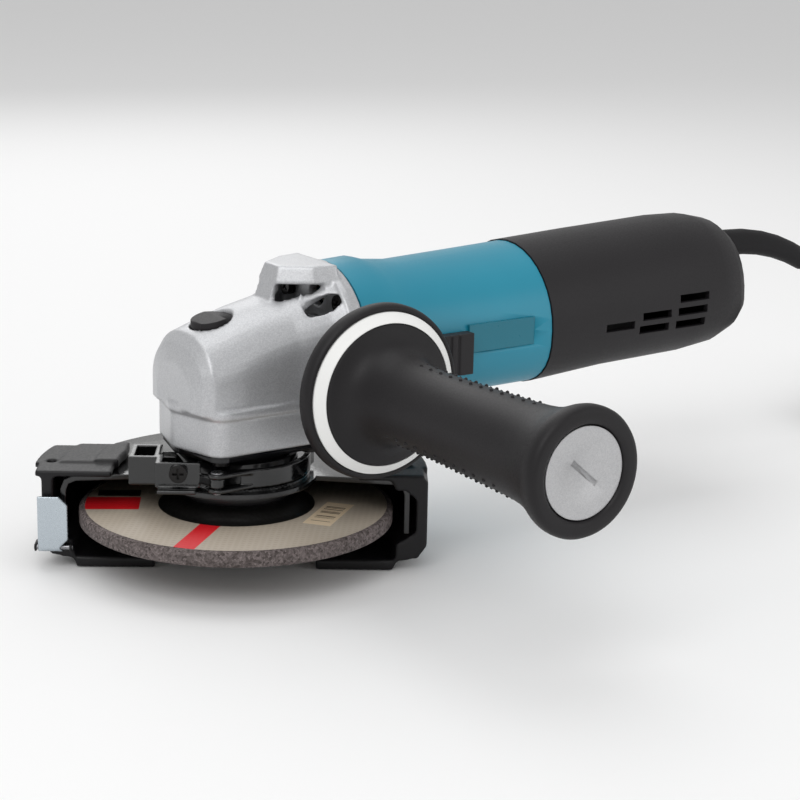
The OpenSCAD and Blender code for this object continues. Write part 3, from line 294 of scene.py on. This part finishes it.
def make_materials():
    made = {}
    # Silver lacquer over a die casting: a soft sparkle and satin highlights
    made["cast_alloy"] = flake_paint("silver_lacquer_on_alloy", "c6c7c9", "b3b4b7", 0.38, 0.00035)
    # Black paint on a casting: even, slightly soft shine
    made["black_casting"] = surface("black_painted_alloy", "17171a", "101012", 0.34, 0.06, 0.0007, 0.00002)
    # Blackened screw steel: oily dark shine with worn brighter spots
    made["black_screw"] = surface("blackened_steel", "1b1a1a", "2c2a29", 0.32, 0.1, 0.0006, 0.00003, 0.7)
    # Glass-filled nylon, moulded in teal: satin with a very fine eggshell
    made["teal_shell"] = surface("teal_moulded_nylon", "1b88a1", "188099", 0.36, 0.05, 0.0009, 0.000015)
    # Glass-filled nylon, moulded in black: matte spark-eroded grain
    made["black_shell"] = surface("black_moulded_nylon", "1d1b1d", "232123", 0.5, 0.08, 0.0008, 0.00003,
                                  shine=0.3)
    # Foil badge, left blank: smooth deeper teal
    made["plate"] = surface("teal_foil", "0a6a7c", "0c7084", 0.3, 0.03, 0.002, 0.000005)
    # Stacked silicon steel: fine dull sheets
    made["lamination"] = surface("stacked_silicon_steel", "5b5b5e", "48484b", 0.45, 0.1, 0.0005, 0.00005, 1.0)
    # Varnished copper wire: warm orange-brown with thread-like relief
    made["copper_wire"] = surface("varnished_copper_wire", "b4622c", "8d4a20", 0.35, 0.1, 0.0006, 0.0001, 1.0)
    made["brass"] = surface("rolled_brass", "b8954c", "a5833f", 0.3, 0.08, 0.001, 0.00002, 1.0)
    made["carbon"] = surface("pressed_carbon", "18181a", "222224", 0.55, 0.1, 0.0004, 0.00003)
    made["spring_steel"] = surface("drawn_spring_wire", "9c9ca0", "84848a", 0.28, 0.08, 0.0006, 0.00003, 1.0)
    made["inner_plastic"] = surface("plain_black_plastic", "1d1d1f", "252527", 0.45, 0.06, 0.001, 0.00002)
    made["fan_plastic"] = surface("natural_nylon", "d5d0c2", "c8c2b2", 0.42, 0.06, 0.001, 0.00002)
    # Cord rubber: deep black, dull, slightly dusty
    made["cord_rubber"] = surface("cord_rubber", "131214", "19181a", 0.6, 0.08, 0.0006, 0.00003,
                                  shine=0.25)
    made["plug_plastic"] = surface("moulded_plug_plastic", "1a1a1c", "222224", 0.48, 0.06, 0.0008, 0.00003)
    made["plug_nickel"] = surface("nickel_plate", "cfcabf", "bdb8ac", 0.2, 0.05, 0.001, 0.00001, 1.0)
    made["bearing_steel"] = surface("ground_bearing_steel", "b5b6b8", "9fa0a3", 0.22, 0.06, 0.0008, 0.00001, 1.0)
    made["machine_steel"] = surface("turned_steel", "a4a4a6", "8b8b8e", 0.28, 0.08, 0.0006, 0.00002, 1.0)
    made["gear_steel"] = surface("cut_gear_steel", "77757a", "5c5a5e", 0.3, 0.1, 0.0006, 0.00003, 1.0)
    # Phosphated flange steel: charcoal, soft sheen
    made["blackened_steel"] = surface("phosphated_steel", "2a2a2c", "363638", 0.4, 0.08, 0.0006, 0.00003, 0.6)
    made["abrasive"] = wheel_material()
    # Powder coat on pressed steel: wet-looking gloss black with faint orange peel
    made["guard_paint"] = surface("gloss_black_powder_coat", "0b0b0c", "101011", 0.13, 0.04, 0.0024, 0.00006,
                                  edge=0.0007, coat=0.4)
    # Tough nylon cover: black, low sheen, fine grain
    made["cover_plastic"] = surface("black_grained_nylon", "100f11", "161517", 0.42, 0.08, 0.0008, 0.00003,
                                    edge=0.0006, shine=0.3)
    made["latch_steel"] = surface("bright_zinc_plate", "c9d2d8", "b7c0c7", 0.26, 0.06, 0.0012, 0.00002, 0.9)
    # Soft rubber over a plastic core: matte charcoal with a dusty bloom
    made["handle_rubber"] = surface("soft_grip_rubber", "161416", "1d1b1d", 0.5, 0.08, 0.0006, 0.00003,
                                    shine=0.3)
    made["white_ring"] = surface("white_nylon", "f4f4f2", "ececea", 0.4, 0.04, 0.001, 0.00001)
    made["cap_metal"] = flake_paint("silver_lacquer_on_plastic", "c0c0c1", "b0b0b2", 0.42, 0.0003)
    return made


MATERIALS = {}


def paint(obj, slot):
    obj.data.materials.clear()
    obj.data.materials.append(MATERIALS[slot])


# ------------------------------------------------------------------ shapes

def finish_piece(obj, slot, body, *stands_for):
    """Links a new piece, gives it its finish and its body, and hides what it stands for."""
    if obj.name not in bpy.context.scene.collection.objects:
        bpy.context.scene.collection.objects.link(obj)
    paint(obj, slot)
    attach(obj, body)
    if stands_for:
        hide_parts(*stands_for)
    return obj


def mesh_object(name, mesh_builder, smooth_angle=35):
    mesh = bpy.data.meshes.new(name)
    mesh_builder.to_mesh(mesh)
    mesh_builder.free()
    for face in mesh.polygons:
        face.use_smooth = True
    mesh.set_sharp_from_angle(angle=math.radians(smooth_angle))
    return bpy.data.objects.new(name, mesh)


def rounded_copy(node, name, cell, passes):
    """A copy of a CAD node with its edges rounded as a casting's or moulding's are."""
    work = bmesh.new()
    work.from_mesh(NODES[node].data)
    bmesh.ops.remove_doubles(work, verts=work.verts, dist=2e-6)
    mesh = bpy.data.meshes.new(name)
    work.to_mesh(mesh)
    work.free()
    obj = bpy.data.objects.new(name, mesh)
    bpy.context.scene.collection.objects.link(obj)
    remesh = obj.modifiers.new("cells", "REMESH")
    remesh.mode = "VOXEL"
    remesh.voxel_size = cell
    remesh.use_smooth_shade = True
    relax = obj.modifiers.new("relax", "SMOOTH")
    relax.factor = 0.5
    relax.iterations = passes
    bpy.context.view_layer.update()
    shaped = obj.evaluated_get(bpy.context.evaluated_depsgraph_get())
    final = bpy.data.meshes.new_from_object(shaped)
    obj.modifiers.clear()
    obj.data = final
    bpy.data.meshes.remove(mesh)
    final.name = name
    for face in final.polygons:
        face.use_smooth = True
    return obj


def spun(work, profile, centre, axis, steps):
    """Spins a profile of (radius, distance along the axis) points into a closed skin."""
    axis = Vector(axis).normalized()
    across = axis.orthogonal().normalized()
    chain = [work.verts.new(Vector(centre) + axis * along + across * radius)
             for radius, along in profile]
    edges = [work.edges.new(pair) for pair in zip(chain, chain[1:])]
    bmesh.ops.spin(work, geom=chain + edges, cent=centre, axis=axis, dvec=(0, 0, 0),
                   angle=2 * math.pi, steps=steps, use_merge=True)
    bmesh.ops.remove_doubles(work, verts=work.verts, dist=1e-6)
    bmesh.ops.recalc_face_normals(work, faces=work.faces)


# ------------------------------------------------------------------- stage

class GRINDER_OT_stage(bpy.types.Operator):
    """Adds the floor, the soft studio light and the camera"""
    bl_idname = "grinder.stage"
    bl_label = "Stage"

    def execute(self, context):
        scene = context.scene
        setup = scene.grinder_stage
        scene.view_settings.view_transform = "Standard"
        base = lower_corner("cutting_cover").z
        work = bmesh.new()
        bmesh.ops.create_grid(work, x_segments=1, y_segments=1, size=setup.floor_size / 2,
                              matrix=Matrix.Translation((0, 0, base - 0.0002)))
        floor = mesh_object("floor", work)
        scene.collection.objects.link(floor)
        mat, tree = new_material("pale_paper_floor")
        place = add(tree, "ShaderNodeTexCoord")
        tooth = add(tree, "ShaderNodeTexNoise", {"Scale": 300.0}, {"Vector": (place, "Object")})
        relief = add(tree, "ShaderNodeBump", {"Strength": 0.05, "Distance": 0.0002},
                     {"Height": (tooth, "Fac")})
        shader = add(tree, "ShaderNodeBsdfPrincipled",
                     {"Base Color": (*setup.floor_colour, 1), "Roughness": 0.9},
                     {"Normal": (relief, "Normal")})
        close(tree, shader)
        floor.data.materials.append(mat)
        # The room: even pale light
        world = bpy.data.worlds.new("studio")
        world.use_nodes = True
        world.node_tree.nodes["Background"].inputs["Color"].default_value = (1, 1, 1, 1)
        world.node_tree.nodes["Background"].inputs["Strength"].default_value = 0.6
        scene.world = world
        lamps = [("key", (-0.75, -0.75, 1.15), 0.9, 7.0), ("fill", (0.75, -1.1, 0.55), 0.8, 2.0),
                 ("top", (0.1, 0.35, 1.35), 1.1, 5.0), ("back", (0.4, 1.1, 0.7), 0.7, 2.0)]
        target = Vector((0.06, 0, 0.05))
        for name, spot, size, power in lamps:
            light = bpy.data.lights.new(name, "AREA")
            light.shape = "SQUARE"
            light.size = size
            light.energy = power
            lamp = bpy.data.objects.new(name, light)
            lamp.location = spot
            lamp.rotation_mode = "QUATERNION"
            lamp.rotation_quaternion = (target - Vector(spot)).to_track_quat("-Z", "Y")
            scene.collection.objects.link(lamp)
        # The camera, as an azimuth and elevation round the wheel with a small roll
        azimuth, elevation, roll = (math.radians(a) for a in (-34.42, 14.90, 1.17))
        back = Vector((math.sin(azimuth) * math.cos(elevation),
                       -math.cos(azimuth) * math.cos(elevation), math.sin(elevation)))
        right = Vector((math.cos(azimuth), math.sin(azimuth), 0))
        up = back.cross(right)
        across = right * math.cos(roll) + up * math.sin(roll)
        above = up * math.cos(roll) - right * math.sin(roll)
        aim = Vector((0, 0, 0.009))
        spot = aim + across * 0.06527 + above * 0.04082 + back * 0.87035
        lens = bpy.data.cameras.new("camera")
        lens.lens = setup.lens
        lens.sensor_width = 36
        lens.clip_start = 0.02
        lens.clip_end = 50
        camera = bpy.data.objects.new("camera", lens)
        turn = Matrix((across, above, back)).transposed().to_4x4()
        camera.matrix_world = Matrix.Translation(spot) @ turn
        scene.collection.objects.link(camera)
        scene.camera = camera
        return {"FINISHED"}


# -------------------------------------------------------------------- cord

LEAD = [(304, 0, 79), (313, -0.3, 73.4), (321.5, -1, 66.4), (329, -2.2, 58.2), (335.5, -4, 49.2),
        (341.2, -6.4, 39.8), (346.4, -9.4, 30.4), (351.4, -13, 21.2), (356.6, -17.2, 12.6),
        (362.2, -21.8, 4.8), (368.6, -26.6, -2), (376, -31.4, -7), (384.4, -35.8, -10),
        (393.2, -39.4, -11), (402, -41.8, -11), (410, -42.6, -11)]
COIL_CENTRE = (410, 10.4)
COIL_START = -90
# Angle wound so far, radius of the turn and height of the cord's middle, in degrees and mm
COIL_STEPS = [(0, 53, -11), (345, 53, -11), (390, 45, -11), (705, 45, -11), (750, 37, -11),
              (1015, 37, -11), (1065, 37, -3), (1330, 37, -3), (1380, 45, -3), (1690, 45, -3),
              (1740, 53, -3), (2000, 53, -3), (2050, 53, 5), (2310, 53, 5), (2360, 45, 5),
              (2490, 45, 5), (2578, 45.8, 10.6)]


def eased(t):
    return t * t * (3 - 2 * t)


def coil_points():
    """Points round the coil, a turn in 24 steps, each layer a cord's width above the last."""
    points = []
    for (a0, r0, z0), (a1, r1, z1) in zip(COIL_STEPS, COIL_STEPS[1:]):
        steps = max(2, round((a1 - a0) / 12))
        for i in range(1, steps + 1):
            t = i / steps
            angle = math.radians(COIL_START + a0 + (a1 - a0) * t)
            radius = r0 + (r1 - r0) * eased(t)
            points.append((COIL_CENTRE[0] + radius * math.cos(angle),
                           COIL_CENTRE[1] + radius * math.sin(angle), z0 + (z1 - z0) * eased(t)))
    return points


class GRINDER_OT_cord(bpy.types.Operator):
    """Adds the mains cord: from its relief down to the floor and into a coil"""
    bl_idname = "grinder.cord"
    bl_label = "Cord"

    def execute(self, context):
        setup = context.scene.grinder_cord
        route = [Vector(p) * MM for p in LEAD + coil_points()]
        curve = bpy.data.curves.new("mains_cord", "CURVE")
        curve.dimensions = "3D"
        curve.bevel_depth = setup.diameter / 2
        curve.bevel_resolution = 3
        curve.use_fill_caps = True
        line = curve.splines.new("POLY")
        line.points.add(len(route) - 1)
        for point, place in zip(line.points, route):
            point.co = (*place, 1)
        line.use_smooth = True
        cord = bpy.data.objects.new("mains_cord", curve)
        finish_piece(cord, "cord_rubber", "machine", "cord_lead", "cord_coil")
        plug = [finish_piece(smoothed("plug_boot"), "cord_rubber", "machine", "plug_boot"),
                finish_piece(smoothed("plug_body"), "plug_plastic", "machine", "plug_body"),
                NODES["plug_pins"]]
        return {"FINISHED"}


# ------------------------------------------------------------------ handle

class GRINDER_OT_handle(bpy.types.Operator):
    """Adds the side handle's rubber grip with its dished hand guard and raised dots"""
    bl_idname = "grinder.handle"
    bl_label = "Side handle"

    def execute(self, context):
        setup = context.scene.grinder_handle
        centre = Vector((0.0312, 0, 0.063))
        away = Vector((0, -1, 0))
        profile = [(4, 50), (31.4, 50), (32.9, 50.5), (33.9, 51.4), (34.4, 52.7), (34.4, 55),
                   (34.1, 56.2), (33.4, 57.2), (32.6, 57.6), (31.9, 57.3), (31.6, 56.7), (27.8, 59.7),
                   (27.7, 60.3), (27.2, 60.8), (26, 61.2), (24, 61.9), (22, 62.9), (20.2, 64.3),
                   (18.8, 66.2), (17.7, 68.6), (16.9, 71.6), (16.3, 75.4), (16.0, 80), (15.8, 88),
                   (15.8, 100), (16.0, 112), (16.4, 124), (16.8, 136), (17.2, 146), (17.7, 153),
                   (18.4, 159), (19.5, 164), (20.8, 168), (22.0, 171), (22.9, 173.2), (23.4, 175),
                   (23.5, 176.6), (23.4, 178), (22.8, 179.2), (21.9, 179.9), (20.9, 180), (19.2, 180),
                   (18.3, 179.9), (17.6, 179.6), (17.1, 179), (16.7, 178), (16.5, 176), (4, 176), (4, 50)]
        work = bmesh.new()
        spun(work, [(r * MM, y * MM) for r, y in profile], centre, away, 96)
        # Raised dots: two bands of rows round the grip
        along = [i * setup.knob_pitch for i in range(12)]
        for band in (38, 218):
            for row in range(4):
                turn = math.radians(band + row * 17)
                for step in along:
                    y = 0.0785 + step + (setup.knob_pitch / 2 if row % 2 else 0)
                    radius = 0.0158 + max(0, y - 0.100) * 0.030
                    out = Vector((math.cos(turn), 0, math.sin(turn)))
                    spot = centre + away * y + out * radius
                    bmesh.ops.create_icosphere(work, subdivisions=1, radius=setup.knob_radius,
                                               matrix=Matrix.Translation(spot))
        grip = mesh_object("grip_sleeve", work, 50)
        finish_piece(grip, "handle_rubber", "machine", "handle_grip")
        return {"FINISHED"}


# ---------------------------------------------------------------- castings

class GRINDER_OT_castings(bpy.types.Operator):
    """Rounds the edges of the gear housing, the guard's parts and the mouldings"""
    bl_idname = "grinder.castings"
    bl_label = "Castings and mouldings"

    def execute(self, context):
        grain = context.scene.grinder_casting.grain
        for node, name, slot, body, cell, passes in [
                ("gear_housing", "gear_case", "cast_alloy", "machine", grain, 3),
                ("cutting_cover", "clip_on_cover", "cover_plastic", "guard", grain * 1.15, 2),
                ("guard_bracket", "clamp_bracket", "guard_paint", "guard", grain * 0.5, 3),
                ("clamp_lever", "clamp_lever_band", "guard_paint", "lever", grain * 0.45, 3),
                ("switch_knob", "slide_switch_knob", "black_shell", "switch", grain * 0.5, 4),
                ("cover_latch", "latch_plate", "latch_steel", "latch", grain * 0.45, 3)]:
            finish_piece(rounded_copy(node, name, cell, passes), slot, body, node)
        return {"FINISHED"}


SMOOTHED = {
    "motor_housing": "motor_shell", "rear_cover": "tail_cover", "bearing_box": "bearing_plate",
    "guard_shell": "guard_pan", "guard_collar": "guard_sleeve", "handle_collar": "handle_base",
    "handle_ring": "ring_inlay", "handle_cap": "grip_end_disc", "grinding_wheel": "bonded_wheel",
    "inner_flange": "wheel_flange", "lock_nut": "clamping_nut", "spindle": "drive_spindle",
    "cord_guard": "strain_relief", "plug_boot": "plug_relief", "plug_body": "plug_shell",
    "lock_button": "lock_plunger", "lower_bearing": "lower_race"}


PLUG_NODES = ("plug_boot", "plug_body")


def body_of(node):
    for body, nodes in frame["record"]["behaviour"]["bodies"].items():
        if node in nodes:
            return body
    raise ValueError(node + " is on no body")


def smoothed(node):
    """A merged copy of a CAD node whose curved faces shade as curves and its corners as corners."""
    work = bmesh.new()
    work.from_mesh(NODES[node].data)
    bmesh.ops.remove_doubles(work, verts=work.verts, dist=2e-6)
    return mesh_object(SMOOTHED[node], work, 32)


class GRINDER_OT_smooth_parts(bpy.types.Operator):
    """Adds the turned and moulded parts with their curves shaded as curves"""
    bl_idname = "grinder.smooth_parts"
    bl_label = "Turned and moulded parts"

    def execute(self, context):
        slots = {d["node"]: d["material_slot"] for d in frame["record"]["subparts"]}
        for node in SMOOTHED:
            if node in PLUG_NODES:
                continue
            finish_piece(smoothed(node), slots[node], body_of(node), node)
        return {"FINISHED"}


class GRINDER_OT_finishes(bpy.types.Operator):
    """Gives every carried-over part its own finish"""
    bl_idname = "grinder.finishes"
    bl_label = "Finishes"

    def execute(self, context):
        for entry in frame["record"]["subparts"]:
            paint(NODES[entry["node"]], entry["material_slot"])
        return {"FINISHED"}


class GRINDER_PT_panel(bpy.types.Panel):
    bl_label = "Angle grinder"
    bl_idname = "GRINDER_PT_panel"
    bl_space_type = "VIEW_3D"
    bl_region_type = "UI"
    bl_category = "Grinder"

    def draw(self, context):
        layout = self.layout
        for group in ("grinder_cord", "grinder_handle", "grinder_casting", "grinder_stage"):
            data = getattr(context.scene, group)
            for key in data.__annotations__:
                layout.prop(data, key)
        for operator in OPERATORS:
            layout.operator(operator.bl_idname)


GROUPS = {"grinder_cord": GrinderCord, "grinder_handle": GrinderHandle,
          "grinder_casting": GrinderCasting, "grinder_stage": GrinderStage}
OPERATORS = [GRINDER_OT_stage, GRINDER_OT_cord, GRINDER_OT_finishes, GRINDER_OT_smooth_parts,
             GRINDER_OT_handle, GRINDER_OT_castings]


def register():
    for cls in [*GROUPS.values(), *OPERATORS, GRINDER_PT_panel]:
        bpy.utils.register_class(cls)
    for name, cls in GROUPS.items():
        setattr(bpy.types.Scene, name, bpy.props.PointerProperty(type=cls))


def unregister():
    for name in GROUPS:
        delattr(bpy.types.Scene, name)
    for cls in reversed([*GROUPS.values(), *OPERATORS, GRINDER_PT_panel]):
        bpy.utils.unregister_class(cls)


def main():
    register()
    MATERIALS.update(make_materials())
    bpy.ops.grinder.stage()
    bpy.ops.grinder.cord()
    bpy.ops.grinder.finishes()
    bpy.ops.grinder.smooth_parts()
    bpy.ops.grinder.handle()
    bpy.ops.grinder.castings()


if __name__ == "__main__":
    main()
